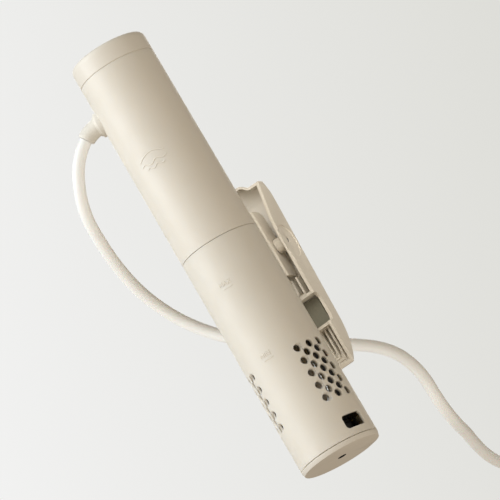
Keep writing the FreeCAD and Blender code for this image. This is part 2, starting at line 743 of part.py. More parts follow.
def strain_relief():
    """Flange seated on the housing, with a soft neck that bends the cord downwards."""
    out = outward(CORD_AZ)
    level = Vector(0, 0, CORD_EXIT_Z)
    flange = Part.makeCylinder(8.9, 4.0, out * 26.0 + level, out)
    rim = [edge for edge in flange.Edges if edge.BoundBox.Center.dot(out) > 29]
    flange = flange.makeFillet(0.7, rim)
    flange = flange.cut(skin(250, 300, 0.03))
    spigot = Part.makeCylinder(4.85, 9.5, out * 19.2 + level, out)
    start = out * RELIEF_START_R + level
    pivot = start - Vector(0, 0, RELIEF_BEND_R)
    mouth = Part.Face(Part.Wire(Part.makeCircle(RELIEF_R, start, out)))
    neck = mouth.revolve(pivot, sideways(CORD_AZ), RELIEF_BEND_DEG)
    return join([flange, spigot, neck])


def relief_nut():
    """Nut that locks the strain relief from inside the housing."""
    out = outward(CORD_AZ)
    start = out * 19.6 + Vector(0, 0, CORD_EXIT_Z)
    body = Part.makeCylinder(7.6, 3.6, start, out)
    return body.cut(Part.makeCylinder(4.9, 8, start - out, out))


def bent_path(points):
    """Straight runs joined by tangent arcs; prints each arc's radius."""
    spots = [Vector(*point) for point in points]
    edges = []
    start = spots[0]
    for before, corner, after in zip(spots, spots[1:], spots[2:]):
        into = (corner - before).normalize()
        away = (after - corner).normalize()
        trim = 0.45 * min((corner - before).Length, (after - corner).Length)
        half_turn = into.getAngle(away) / 2
        radius = trim / math.tan(half_turn)
        print("arc radius %.1f mm, turn %.1f degrees" % (radius, math.degrees(2 * half_turn)))
        first = corner - into * trim
        last = corner + away * trim
        inwards = (away - into).normalize()
        middle = corner + inwards * (radius / math.cos(half_turn) - radius)
        edges.append(Part.LineSegment(start, first).toShape())
        edges.append(Part.Arc(first, middle, last).toShape())
        start = last
    edges.append(Part.LineSegment(start, spots[-1]).toShape())
    return Part.Wire(edges)


def cord_tube(points):
    """Round tube of the cord's diameter along a route."""
    path = bent_path(points)
    start = Vector(*points[0])
    section = Part.Face(Part.Wire(Part.makeCircle(CORD_D / 2, start, Vector(*points[1]) - start)))
    tube = path.makePipe(section)
    expected = math.pi * (CORD_D / 2) ** 2 * path.Length
    print("tube length %.1f mm, volume %.1f, expected %.1f" % (path.Length, tube.Volume, expected))
    return tube


def cord_coil():
    """Outer shape of the coil, with the low hump where the last turn crosses out."""
    outer = COIL_OUTER_TURN_R + CORD_D / 2
    inner = COIL_INNER_TURN_R - CORD_D / 2
    body = rod(outer, 0, CORD_D, COIL_X, COIL_Y).cut(rod(inner, -1, CORD_D + 1, COIL_X, COIL_Y))
    hump_x = COIL_X + COIL_INNER_TURN_R
    hump = block(hump_x - CORD_D / 2, hump_x + CORD_D / 2, TAIL_ROUTE[0][1], COIL_Y + 6,
                 CORD_D - 1, CROSSING_Z + CORD_D / 2)
    return join([body, hump])


def mains_plug():
    """Generic flat two-pin plug body, lying beside the coil."""
    y1 = PLUG_Y - 16
    body = block(PLUG_X - 13, PLUG_X + 13, y1 - 34, y1, 0.2, 2 * PLUG_Z - 0.2)
    return body.makeFillet(4.0, [edge for edge in body.Edges if edge.BoundBox.YLength > 30])


def plug_boot():
    """Tapered relief on the back of the plug."""
    boot = Part.makeCone(5.2, 6.4, 16, Vector(*TAIL_ROUTE[-1]), Vector(0, -1, 0))
    return boot


def plug_pins():
    """Two round pins."""
    y1 = PLUG_Y - 50
    pins = []
    for x in (PLUG_X - 9.5, PLUG_X + 9.5):
        pin = bar(2.0, Vector(x, y1, PLUG_Z), Vector(x, y1 - 19, PLUG_Z))
        pins.append(pin.makeFillet(0.9, [edge for edge in pin.Edges if edge.BoundBox.YMax < y1 - 18]))
    return group(pins)


NODES = {
    "sleeve": sleeve,
    "bottom_cap": bottom_cap,
    "bottom_seal": bottom_seal,
    "upper_housing": upper_housing,
    "top_cap": top_cap,
    "touch_panel": touch_panel,
    "light_ring": light_ring,
    "display_board": display_board,
    "display_chips": display_chips,
    "inner_frame": inner_frame,
    "power_board": power_board,
    "power_parts": power_parts,
    "wire_harness": wire_harness,
    "motor": motor,
    "motor_mount": motor_mount,
    "mount_screws": mount_screws,
    "motor_screws": motor_screws,
    "bulkhead": bulkhead,
    "bulkhead_oring": bulkhead_oring,
    "upper_bush": upper_bush,
    "shaft_seal": shaft_seal,
    "heating_element": heating_element,
    "temperature_probe": temperature_probe,
    "level_pins": level_pins,
    "shaft_carrier": shaft_carrier,
    "lower_bush": lower_bush,
    "drive_shaft": drive_shaft,
    "motor_shaft": motor_shaft,
    "shaft_coupling": shaft_coupling,
    "impeller": impeller,
    "impeller_nut": impeller_nut,
    "clip_lever": clip_lever,
    "grip_pad": grip_pad,
    "clip_bracket": clip_bracket,
    "bracket_screws": bracket_screws,
    "hinge_pin": hinge_pin,
    "clip_spring": clip_spring,
    "strain_relief": strain_relief,
    "relief_nut": relief_nut,
    "mains_cord": lambda: cord_tube(CORD_ROUTE),
    "cord_coil": cord_coil,
    "cord_tail": lambda: cord_tube(TAIL_ROUTE),
    "mains_plug": mains_plug,
    "plug_boot": plug_boot,
    "plug_pins": plug_pins,
}

os.makedirs("parts", exist_ok=True)
for name, make in NODES.items():
    shape = make()
    sound = all(solid.isValid() and solid.Volume > 0 for solid in shape.Solids)
    print("%-18s solids %d volume %.1f sound %s" % (name, len(shape.Solids), shape.Volume, sound))
    shape.exportStep("parts/%s.step" % name)
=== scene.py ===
"""Sous vide circulator: its looks, floor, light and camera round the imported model.

Everything is in metres in the model's own frame: Z up along the tube's axis from its flat bottom
face, the moulded level marks at -Y, the pot clip at +Y and the mains cord on the -X side.
"""

import json
import math

import bmesh
import bpy
import numpy as np
from mathutils import Matrix, Vector

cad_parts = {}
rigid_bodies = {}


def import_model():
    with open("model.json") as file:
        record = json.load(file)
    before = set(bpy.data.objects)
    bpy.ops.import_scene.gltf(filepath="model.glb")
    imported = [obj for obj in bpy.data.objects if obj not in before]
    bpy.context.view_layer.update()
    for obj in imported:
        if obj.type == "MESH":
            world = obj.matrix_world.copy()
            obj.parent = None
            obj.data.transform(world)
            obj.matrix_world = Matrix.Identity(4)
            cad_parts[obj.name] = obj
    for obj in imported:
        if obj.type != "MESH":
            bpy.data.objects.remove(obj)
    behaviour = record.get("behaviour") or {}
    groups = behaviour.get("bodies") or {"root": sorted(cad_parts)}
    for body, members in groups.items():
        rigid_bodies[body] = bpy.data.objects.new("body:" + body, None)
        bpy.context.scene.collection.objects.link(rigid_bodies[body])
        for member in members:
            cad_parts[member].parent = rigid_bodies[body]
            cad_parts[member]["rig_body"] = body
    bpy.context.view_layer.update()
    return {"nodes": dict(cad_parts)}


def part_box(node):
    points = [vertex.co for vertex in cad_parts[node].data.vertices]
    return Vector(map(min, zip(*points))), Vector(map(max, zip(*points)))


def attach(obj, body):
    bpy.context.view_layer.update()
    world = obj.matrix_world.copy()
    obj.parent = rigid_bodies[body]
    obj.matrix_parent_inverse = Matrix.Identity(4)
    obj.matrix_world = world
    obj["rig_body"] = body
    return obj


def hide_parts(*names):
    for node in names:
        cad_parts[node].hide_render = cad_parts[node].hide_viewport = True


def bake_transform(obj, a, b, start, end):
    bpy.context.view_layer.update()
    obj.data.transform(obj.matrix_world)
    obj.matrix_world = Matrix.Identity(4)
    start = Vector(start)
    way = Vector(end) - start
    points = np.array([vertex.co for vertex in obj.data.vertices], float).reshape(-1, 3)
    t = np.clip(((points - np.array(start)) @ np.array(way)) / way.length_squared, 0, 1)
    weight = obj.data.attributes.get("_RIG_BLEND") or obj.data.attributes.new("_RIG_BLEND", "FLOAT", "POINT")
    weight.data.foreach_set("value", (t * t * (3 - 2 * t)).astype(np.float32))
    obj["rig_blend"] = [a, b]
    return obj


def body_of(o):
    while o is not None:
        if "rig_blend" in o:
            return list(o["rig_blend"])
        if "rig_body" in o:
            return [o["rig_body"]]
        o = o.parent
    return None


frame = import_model()

MM = 0.001
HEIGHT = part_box("top_cap")[1][2]
BASE_R = 29.0 * MM  # the tube's skin at its foot
DRAFT = 1.2 / 305.0  # the skin's radius lost per unit of height
CORD_R = 4.3 * MM
PIVOT = np.array([0.0, 43.0, 152.0]) * MM  # middle of the clip's hinge pin
MERGE_DISTANCE = 0.0002 * MM


# Camera: below the level of the tube's foot, looking up and rolled, through a long lens.

VIEW_AZIMUTH, VIEW_ELEVATION, VIEW_ROLL = 19.5, -12.4, 30.27
VIEW_DISTANCE = 3.9
LENS_MM, SENSOR_MM = 420.4, 36.0
AIM_RIGHT, AIM_DOWN = 16.2 * MM, 7.5 * MM


def camera():
    """Camera turned by azimuth, elevation and roll round a point beside the middle of the tube.

    Returns the directions to its right, up and back towards it.
    """
    azimuth, elevation, roll = np.radians((VIEW_AZIMUTH, VIEW_ELEVATION, VIEW_ROLL))
    back = Vector((math.sin(azimuth) * math.cos(elevation),
                   -math.cos(azimuth) * math.cos(elevation), math.sin(elevation)))
    level = Vector((math.cos(azimuth), math.sin(azimuth), 0))
    rise = back.cross(level)
    right = level * math.cos(roll) - rise * math.sin(roll)
    up = level * math.sin(roll) + rise * math.cos(roll)
    aim = Vector((0, 0, HEIGHT / 2)) + level * AIM_RIGHT - rise * AIM_DOWN
    data = bpy.data.cameras.new("camera")
    data.lens = LENS_MM
    data.sensor_width = SENSOR_MM
    data.clip_end = 50.0
    made = bpy.data.objects.new("camera", data)
    bpy.context.scene.collection.objects.link(made)
    made.matrix_world = Matrix((
        (right[0], up[0], back[0], 0), (right[1], up[1], back[1], 0),
        (right[2], up[2], back[2], 0), (0, 0, 0, 1)))
    made.location = aim + back * VIEW_DISTANCE
    bpy.context.scene.camera = made
    return right, up, back


# Surfaces worked out with numpy.

def piece(name, surfaces, material, body, sharp=35.0):
    """One mesh from several closed surfaces, each an array (rows, columns, 3) of points.

    A cell between four neighbouring points is one quad. Columns run all the way round; rows
    run from one pole to the other, or all the way round as well when the surface is marked True.
    Points that fall together at a pole are merged.
    """
    points, quads, count = [], [], 0
    for surface in surfaces:
        grid, ring = surface if isinstance(surface, tuple) else (surface, False)
        rows, columns = grid.shape[:2]
        index = count + np.arange(rows * columns).reshape(rows, columns)
        index = np.concatenate([index, index[:, :1]], axis=1)
        if ring:
            index = np.concatenate([index, index[:1]], axis=0)
        quads.append(np.stack([index[:-1, :-1], index[:-1, 1:], index[1:, 1:], index[1:, :-1]],
                              axis=-1).reshape(-1, 4))
        points.append(grid.reshape(-1, 3))
        count += rows * columns
    points = np.concatenate(points)
    quads = np.concatenate(quads)
    mesh = bpy.data.meshes.new(name)
    mesh.vertices.add(len(points))
    mesh.vertices.foreach_set("co", points.astype(np.float32).ravel())
    mesh.loops.add(quads.size)
    mesh.loops.foreach_set("vertex_index", quads.astype(np.int32).ravel())
    mesh.polygons.add(len(quads))
    mesh.polygons.foreach_set("loop_start", np.arange(0, quads.size, 4, dtype=np.int32))
    mesh.update(calc_edges=True)
    tidy(mesh, True, sharp)
    return placed(name, mesh, material, body)


def tidy(mesh, outwards, sharp):
    """Merges doubled points, turns faces outwards if asked, and shades smooth up to an angle."""
    work = bmesh.new()
    work.from_mesh(mesh)
    bmesh.ops.remove_doubles(work, verts=work.verts, dist=MERGE_DISTANCE)
    if outwards:
        bmesh.ops.recalc_face_normals(work, faces=work.faces)
    work.to_mesh(mesh)
    work.free()
    mesh.shade_smooth()
    mesh.set_sharp_from_angle(angle=math.radians(sharp))


def placed(name, mesh, material, body):
    """Object for a mesh, with its material, riding on a body."""
    made = bpy.data.objects.new(name, mesh)
    bpy.context.scene.collection.objects.link(made)
    mesh.materials.clear()
    mesh.materials.append(material)
    if body:
        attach(made, body)
    return made


def circle(segments):
    """Cosine and sine at even steps round a full turn."""
    turn = np.linspace(0, 2 * np.pi, segments, endpoint=False)
    return np.cos(turn), np.sin(turn)


def lathe(profile, segments=96, centre=(0, 0, 0), axis="z"):
    """Profile of (radius, height) carried round an axis: x = r cos t, y = r sin t, z = height."""
    cos, sin = circle(segments)
    radius, height = np.asarray(profile, float).T
    across = radius[:, None] * cos
    along = radius[:, None] * sin
    level = np.broadcast_to(height[:, None], across.shape)
    order = {"z": (across, along, level), "x": (level, across, along), "y": (along, level, across)}
    return np.stack(order[axis], axis=-1) + np.asarray(centre)


def rounded(points, radius, steps=5):
    """Closed outline whose corners are quadratic curves starting at most radius from each corner."""
    corner = np.asarray(points, float)
    before = np.roll(corner, 1, axis=0) - corner
    after = np.roll(corner, -1, axis=0) - corner
    radius = np.broadcast_to(radius, len(corner))
    reach = [np.minimum(radius, 0.48 * np.linalg.norm(side, axis=1)) for side in (before, after)]
    start = corner + before / np.linalg.norm(before, axis=1)[:, None] * reach[0][:, None]
    end = corner + after / np.linalg.norm(after, axis=1)[:, None] * reach[1][:, None]
    t = np.linspace(0, 1, steps)[None, :, None]
    bend = (1 - t) ** 2 * start[:, None] + 2 * t * (1 - t) * corner[:, None] + t ** 2 * end[:, None]
    return bend.reshape(-1, corner.shape[1])


def rounded_profile(points, radius, steps=5):
    """As rounded(), for an open profile that starts and ends on the axis."""
    whole = rounded(points, radius, steps).reshape(len(points), steps, 2)
    middle = whole[1:-1].reshape(-1, 2)
    return np.concatenate([[points[0]], middle, [points[-1]]])


def tube(path, radius, segments=20):
    """Round tube along a path: each ring lies across the path, and both ends close at a pole.

    The frame is carried along without twist: the side vector is the last one with its part along
    the new direction taken away.
    """
    path = np.asarray(path, float)
    radius = np.broadcast_to(radius, len(path)).astype(float)
    along = np.gradient(path, axis=0)
    along /= np.linalg.norm(along, axis=1)[:, None]
    guess = np.array([0.0, 0.0, 1.0]) if abs(along[0][2]) < 0.9 else np.array([1.0, 0.0, 0.0])
    side = np.empty_like(path)
    for step, direction in enumerate(along):
        guess = guess - direction * (guess @ direction)
        guess = guess / np.linalg.norm(guess)
        side[step] = guess
    other = np.cross(along, side)
    cos, sin = circle(segments)
    ring = cos[None, :, None] * side[:, None] + sin[None, :, None] * other[:, None]
    body = path[:, None] + ring * radius[:, None, None]
    first = np.broadcast_to(path[0], (1, segments, 3))
    last = np.broadcast_to(path[-1], (1, segments, 3))
    return np.concatenate([first, body, last])


def skin_radius(z):
    """Outer radius of the tube at height z, in metres."""
    return BASE_R - DRAFT * z


def on_skin(across, up, out, azimuth=0.0):
    """Points on the tube's skin: across is an arc length, up a height, out a rise off the skin."""
    radius = skin_radius(up)
    turn = across / radius + azimuth
    return (radius + out) * np.sin(turn), -(radius + out) * np.cos(turn), up


def stroke(points, width, rise, place, cuts=6, around=10, sunk=0.6):
    """Raised line: a flat-bottomed half ellipse carried along straight strokes.

    Its section at turn t is width/2 cos t across and rise sin t out, and never lower than the
    sunk share of rise under the surface. place turns (across, up, out) arrays into points.
    """
    corner = np.asarray(points, float)
    steps = [np.linspace(a, b, cuts + 1)[:-1] for a, b in zip(corner[:-1], corner[1:])]
    line = np.concatenate(steps + [corner[-1:]])
    along = np.gradient(line, axis=0)
    along /= np.linalg.norm(along, axis=1)[:, None]
    normal = np.stack([-along[:, 1], along[:, 0]], axis=1)
    cos, sin = circle(around)
    flat = line[:, None] + normal[:, None] * (cos * width / 2)[None, :, None]
    out = np.broadcast_to(np.maximum(sin, -sunk) * rise, flat.shape[:2])
    pole = np.broadcast_to(line[[0, -1]][:, None], (2,) + flat.shape[1:])
    flat = np.concatenate([pole[:1], flat, pole[1:]])
    out = np.concatenate([np.zeros((1, around)), out, np.zeros((1, around))])
    return np.stack(place(flat[..., 0], flat[..., 1], out), axis=-1)


def moulded_copy(node, name, material, bevel=0.0, sharp=32.0, on_axis=False, segments=3):
    """Merged copy of a model part, shaded smooth up to an angle, with softened edges if asked."""
    source = frame["nodes"][node]
    body = body_of(source)[0]
    mesh = source.data.copy()
    tidy(mesh, False, sharp)
    if on_axis:
        straighten(mesh)
    made = placed(name, mesh, material, body)
    if bevel:
        soften = made.modifiers.new("soft edges", "BEVEL")
        soften.width = bevel
        soften.segments = segments
        soften.limit_method = "ANGLE"
        soften.angle_limit = math.radians(sharp)
        soften.use_clamp_overlap = True
        soften.harden_normals = True
    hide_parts(node)
    return made


def straighten(mesh, tolerance=0.12 * MM, facing=0.93):
    """Points the corners of faces that lie on the tube's skin straight out from its axis.

    A corner counts as on the skin within the tolerance, if its face looks outwards: the cosine
    between the face's normal and the ray from the axis is above facing.
    """
    count = len(mesh.loops)
    corner = np.empty(count, dtype=np.int32)
    mesh.loops.foreach_get("vertex_index", corner)
    spot = np.empty(len(mesh.vertices) * 3, dtype=np.float32)
    mesh.vertices.foreach_get("co", spot)
    spot = spot.reshape(-1, 3)[corner]
    normal = np.empty(count * 3, dtype=np.float32)
    mesh.corner_normals.foreach_get("vector", normal)
    normal = normal.reshape(-1, 3)
    face = np.empty(len(mesh.polygons) * 3, dtype=np.float32)
    mesh.polygons.foreach_get("normal", face)
    corners_per_face = np.empty(len(mesh.polygons), dtype=np.int32)
    mesh.polygons.foreach_get("loop_total", corners_per_face)
    face = np.repeat(face.reshape(-1, 3), corners_per_face, axis=0)
    radius = np.linalg.norm(spot[:, :2], axis=1)
    ray = np.concatenate([spot[:, :2] / np.maximum(radius, 1e-6)[:, None],
                          np.full((count, 1), DRAFT)], axis=1)
    ray /= np.linalg.norm(ray, axis=1)[:, None]
    near = np.abs(radius - skin_radius(spot[:, 2])) < tolerance
    skin = near & ((face * ray).sum(axis=1) > facing)
    normal[skin] = ray[skin]
    mesh.normals_split_custom_set(normal)


# Materials, all worked out by nodes from the piece's own coordinates.

CREAM = (0.745, 0.690, 0.600)
CHAMBER_R = 23.9 * MM
CHAMBER_FLOOR = 1.05 * MM
INTAKE_R = 3.175 * MM


class Finish:
    """A material with short calls for the nodes that most finishes share."""

    def __init__(self, name, colour, roughness, metallic=0.0):
        self.material = bpy.data.materials.new(name)
        self.material.use_nodes = True
        self.tree = self.material.node_tree
        self.shader = self.tree.nodes["Principled BSDF"]
        self.shader.inputs["Base Color"].default_value = (*colour, 1)
        self.shader.inputs["Roughness"].default_value = roughness
        self.shader.inputs["Metallic"].default_value = metallic
        self.colour = colour
        self.place = self.node("ShaderNodeTexCoord").outputs["Object"]
        self.height = None

    def node(self, kind, **values):
        """New node with its inputs set by name."""
        made = self.tree.nodes.new(kind)
        for key, value in values.items():
            made.inputs[key.replace("_", " ")].default_value = value
        return made

    def link(self, start, end):
        """Joins two sockets."""
        self.tree.links.new(start, end)

    def stretched(self, x, y, z):
        """The piece's coordinates, each axis scaled on its own."""
        mapping = self.node("ShaderNodeMapping", Scale=(x, y, z))
        self.link(self.place, mapping.inputs["Vector"])
        return mapping.outputs["Vector"]

    def noise(self, scale, detail=3.0, vector=None):
        """Noise of a scale in cycles per metre."""
        made = self.node("ShaderNodeTexNoise", Scale=scale, Detail=detail)
        self.link(vector or self.place, made.inputs["Vector"])
        return made.outputs["Fac"]

    def ramp(self, factor, low, high, from_low=0.35, from_high=0.65):
        """A factor spread over a range of numbers."""
        made = self.node("ShaderNodeMapRange", From_Min=from_low, From_Max=from_high,
                         To_Min=low, To_Max=high)
        self.link(factor, made.inputs["Value"])
        return made.outputs["Result"]

    def tint(self, factor, other, amount=1.0):
        """Mixes another colour in by a factor, on top of what is there."""
        mix = self.tree.nodes.new("ShaderNodeMix")
        mix.data_type = "RGBA"
        scaled = self.ramp(factor, 0.0, amount)
        self.link(scaled, mix.inputs["Factor"])
        base = self.shader.inputs["Base Color"]
        if base.links:
            self.link(base.links[0].from_socket, mix.inputs["A"])
        else:
            mix.inputs["A"].default_value = (*self.colour, 1)
        mix.inputs["B"].default_value = (*other, 1)
        self.link(mix.outputs["Result"], base)
        return self

    def rough(self, factor, low, high):
        """Lets the roughness follow a factor."""
        self.link(self.ramp(factor, low, high), self.shader.inputs["Roughness"])
        return self

    def bump(self, factor, depth, strength=1.0):
        """Adds relief of a real depth in metres."""
        made = self.node("ShaderNodeBump", Strength=strength, Distance=depth)
        self.link(factor, made.inputs["Height"])
        if self.height:
            self.link(self.height, made.inputs["Normal"])
        self.height = made.outputs["Normal"]
        self.link(self.height, self.shader.inputs["Normal"])
        return self

    def set(self, **values):
        """Sets the shader's own sockets by name."""
        for key, value in values.items():
            self.shader.inputs[key.replace("_", " ")].default_value = value
        return self


def moulded(name, colour, roughness=0.46, grain=0.00002, soft=0.0):
    """Spark-eroded moulded plastic: fine grain, faint flow clouds and slightly uneven gloss."""
    made = Finish(name, colour, roughness)
    clouds = made.noise(28, 2)
    shade = tuple(0.93 * part for part in colour)
    made.tint(clouds, shade, 0.45)
    made.tint(made.noise(9000, 1), tuple(min(1, 1.05 * part) for part in colour), 0.5)
    made.rough(made.noise(55, 4), roughness - 0.05, roughness + 0.06)
    made.bump(made.noise(5200, 2), grain)
    made.bump(made.noise(90, 2), grain * 2.5, 0.5)
    return made.set(Specular_IOR_Level=0.42, Subsurface_Weight=soft, Subsurface_Scale=0.004,
                    Subsurface_Radius=(1.0, 0.9, 0.75)).material


def rubber(name, colour, roughness=0.62):
    """Soft rubber: dull, finely dusted, with small moulding pits."""
    made = Finish(name, colour, roughness)
    made.tint(made.noise(700, 4), tuple(0.8 * part for part in colour), 0.5)
    made.tint(made.noise(60, 3), tuple(min(1, 1.12 * part + 0.01) for part in colour), 0.5)
    made.rough(made.noise(240, 3), roughness - 0.08, roughness + 0.1)
    made.bump(made.noise(3000, 3), 0.00003)
    return made.set(Specular_IOR_Level=0.35, Sheen_Weight=0.08).material


def metal(name, colour, roughness, streaks, depth=0.000006):
    """Drawn or turned metal: fine streaks along or round one axis, with cloudy gloss."""
    made = Finish(name, colour, roughness, 1.0)
    lines = made.noise(1, 4, made.stretched(*streaks))
    made.tint(lines, tuple(0.78 * part for part in colour), 0.5)
    made.tint(made.noise(130, 3), tuple(0.88 * part for part in colour), 0.4)
    made.rough(lines, roughness - 0.07, roughness + 0.1)
    made.bump(lines, depth)
    return made.material


def heated_steel():
    """Stainless heating tube: lengthwise polish lines and a straw tint from use."""
    made = Finish("stainless_tube", (0.66, 0.65, 0.62), 0.24, 1.0)
    lines = made.noise(1, 4, made.stretched(2600, 2600, 60))
    made.tint(lines, (0.5, 0.49, 0.47), 0.5)
    made.tint(made.noise(22, 2), (0.62, 0.54, 0.4), 0.35)
    made.rough(made.noise(160, 3), 0.18, 0.34)
    made.bump(lines, 0.000006)
    return made.material


def jacket(name, colour):
    """Cord jacket: satin flexible plastic with a slightly uneven, softly dented surface."""
    made = Finish(name, colour, 0.42)
    made.tint(made.noise(60, 3), tuple(0.95 * part for part in colour), 0.5)
    made.tint(made.noise(2600, 2), tuple(0.97 * part for part in colour), 0.5)
    made.rough(made.noise(140, 3), 0.36, 0.5)
    made.bump(made.noise(2400, 2), 0.000012)
    made.bump(made.noise(160, 2), 0.00008, 0.6)
    return made.set(Specular_IOR_Level=0.4, Subsurface_Weight=0.04).material


def smoked_glass():
    """Touch panel: dark gloss with faint finger haze."""
    made = Finish("smoked_glass", (0.022, 0.022, 0.024), 0.08)
    made.tint(made.noise(45, 3), (0.045, 0.043, 0.042), 0.6)
    made.rough(made.noise(110, 5), 0.05, 0.17)
    return made.set(Coat_Weight=0.4, Coat_Roughness=0.06).material


def lit_symbols():
    """Pale symbols behind the glass, faintly lit, with a fine dot grain."""
    made = Finish("lit_symbols", (0.82, 0.9, 0.92), 0.35)
    made.tint(made.noise(3800, 2), (0.62, 0.72, 0.76), 0.6)
    return made.set(Emission_Color=(0.75, 0.92, 1.0, 1), Emission_Strength=0.5).material


def milky():
    """Light ring: translucent milky plastic."""
    made = Finish("milky_diffuser", (0.86, 0.87, 0.86), 0.38)
    made.tint(made.noise(900, 3), (0.76, 0.78, 0.78), 0.5)
    made.rough(made.noise(300, 3), 0.3, 0.46)
    made.bump(made.noise(2000, 2), 0.00001)
    return made.set(Subsurface_Weight=0.2).material


def circuit_board():
    """Solder mask over copper: square traces and plated dots under a green lacquer."""
    made = Finish("circuit_board", (0.015, 0.13, 0.05), 0.32)
    grid = made.node("ShaderNodeTexBrick", Scale=420.0, Mortar_Size=0.035)
    made.link(made.place, grid.inputs["Vector"])
    made.tint(grid.outputs["Fac"], (0.05, 0.27, 0.1), 0.9)
    dots = made.node("ShaderNodeTexVoronoi", Scale=330.0, Randomness=0.7)
    made.link(made.place, dots.inputs["Vector"])
    spots = made.ramp(dots.outputs["Distance"], 1.0, 0.0, 0.1, 0.2)
    made.tint(spots, (0.7, 0.66, 0.5), 0.9)
    made.rough(made.noise(500, 3), 0.24, 0.42)
    made.bump(grid.outputs["Fac"], 0.00003)
    return made.material


def component_shells():
    """Sleeves and cases of the parts on the boards: each patch in its own dull colour."""
    made = Finish("component_shells", (0.055, 0.06, 0.075), 0.45)
    cells = made.node("ShaderNodeTexVoronoi", Scale=75.0)
    made.link(made.place, cells.inputs["Vector"])
    made.tint(cells.outputs["Distance"], (0.16, 0.13, 0.05), 0.8)
    made.rough(made.noise(500, 3), 0.32, 0.6)
    made.bump(made.noise(2200, 3), 0.00003)
    return made.material


def base_plastic():
    """Cream base with painted shade: near black inside its pump chamber and the bore of its intake.

    A point is in the chamber when it is nearer to the axis than the chamber's wall and above its
    floor, and in the bore when it is nearer to the axis than the bore's wall.
    """
    made = moulded("cream_base", tuple(0.985 * part for part in CREAM), 0.44)
    tree = made.node_tree
    shader = tree.nodes["Principled BSDF"]

    def fade(socket, none, full):
        """Factor that runs from 0 to 1 as a socket's value runs from none to full."""
        spread = tree.nodes.new("ShaderNodeMapRange")
        spread.inputs["From Min"].default_value = none
        spread.inputs["From Max"].default_value = full
        tree.links.new(socket, spread.inputs["Value"])
        return spread.outputs["Result"]

    def joined(kind, first, second):
        """Product or larger one of two factors."""
        both = tree.nodes.new("ShaderNodeMath")
        both.operation = kind
        tree.links.new(first, both.inputs[0])
        tree.links.new(second, both.inputs[1])
        return both.outputs[0]

    place = next(node for node in tree.nodes if node.type == "TEX_COORD").outputs["Object"]
    apart = tree.nodes.new("ShaderNodeSeparateXYZ")
    tree.links.new(place, apart.inputs[0])
    flat = tree.nodes.new("ShaderNodeVectorMath")
    flat.operation = "MULTIPLY"
    flat.inputs[1].default_value = (1, 1, 0)
    tree.links.new(place, flat.inputs[0])
    reach = tree.nodes.new("ShaderNodeVectorMath")
    reach.operation = "LENGTH"
    tree.links.new(flat.outputs[0], reach.inputs[0])
    near = reach.outputs["Value"]
    # Painted shade: inside the pump chamber and the intake bore the cream is mixed to near black, standing
    # in for the shade deep in these recesses.
    chamber = joined("MULTIPLY", fade(near, CHAMBER_R + 0.1 * MM, CHAMBER_R - 0.1 * MM),
                     fade(apart.outputs["Z"], CHAMBER_FLOOR - 0.15 * MM, CHAMBER_FLOOR + 0.15 * MM))
    painted_shade = joined("MAXIMUM", chamber, fade(near, INTAKE_R + 0.075 * MM, INTAKE_R - 0.075 * MM))
    mix = tree.nodes.new("ShaderNodeMix")
    mix.data_type = "RGBA"
    tree.links.new(painted_shade, mix.inputs["Factor"])
    tree.links.new(shader.inputs["Base Color"].links[0].from_socket, mix.inputs["A"])
    mix.inputs["B"].default_value = (0.012, 0.012, 0.012, 1)
    tree.links.new(mix.outputs["Result"], shader.inputs["Base Color"])
    return made


shell_plastic = moulded("cream_shell", CREAM, soft=0.4)
# The marks' cream is painted 8% lighter than the shell's: a painted highlight for raised strokes that catch
# the light.
light_painted_mark_plastic = moulded("cream_marks_painted_light", tuple(1.08 * part for part in CREAM), 0.4)
cap_plastic = moulded("cream_cap", tuple(0.985 * part for part in CREAM), 0.44)
clip_plastic = moulded("cream_clip", CREAM, 0.48)
relief_plastic = rubber("cream_relief", (0.80, 0.76, 0.68), 0.5)
pad_rubber = rubber("sage_pad", (0.19, 0.18, 0.135), 0.6)
seal_rubber = rubber("black_seal", (0.025, 0.025, 0.026), 0.5)
tie_rubber = rubber("grey_tie", (0.30, 0.30, 0.29), 0.6)
wet_plastic = moulded("filled_nylon", (0.075, 0.076, 0.08), 0.5, 0.00004)
frame_plastic = moulded("grey_carrier", (0.16, 0.16, 0.165), 0.5)
impeller_plastic = moulded("black_impeller", (0.012, 0.012, 0.013), 0.6)
cord_jacket = jacket("cord_jacket", (0.86, 0.845, 0.81))
plug_plastic = moulded("plug_body", (0.84, 0.82, 0.785), 0.4)
tube_steel = heated_steel()
shaft_steel = metal("ground_steel", (0.64, 0.64, 0.65), 0.22, (90, 90, 3200))
screw_steel = metal("zinc_screw", (0.58, 0.58, 0.57), 0.32, (900, 900, 900), 0.00001)
# The impeller nut is zinc steel; its near-black colour is painted shade for the view up through the intake
# bore.
shaded_nut_steel = metal("nut_painted_shade", (0.09, 0.09, 0.09), 0.4, (900, 900, 900), 0.00001)
motor_steel = metal("motor_can", (0.50, 0.50, 0.51), 0.34, (1400, 1400, 40))
spring_steel = metal("spring_wire", (0.42, 0.42, 0.43), 0.3, (1600, 1600, 1600))
bronze = metal("oiled_bronze", (0.55, 0.36, 0.18), 0.4, (700, 700, 700), 0.00002)
turned_alloy = metal("turned_alloy", (0.72, 0.73, 0.75), 0.26, (60, 60, 4000))
pin_brass = metal("plated_brass", (0.72, 0.66, 0.48), 0.25, (2400, 60, 2400))
panel_glass = smoked_glass()
symbol_light = lit_symbols()
diffuser = milky()
board_lacquer = circuit_board()
component_case = component_shells()
wire_skin = jacket("red_wire", (0.42, 0.035, 0.025))


# Mains cord: out of the housing, down behind the clip, along the surface and into its coil.
# Lengths in this part are in millimetres until a shape is scaled by MM.

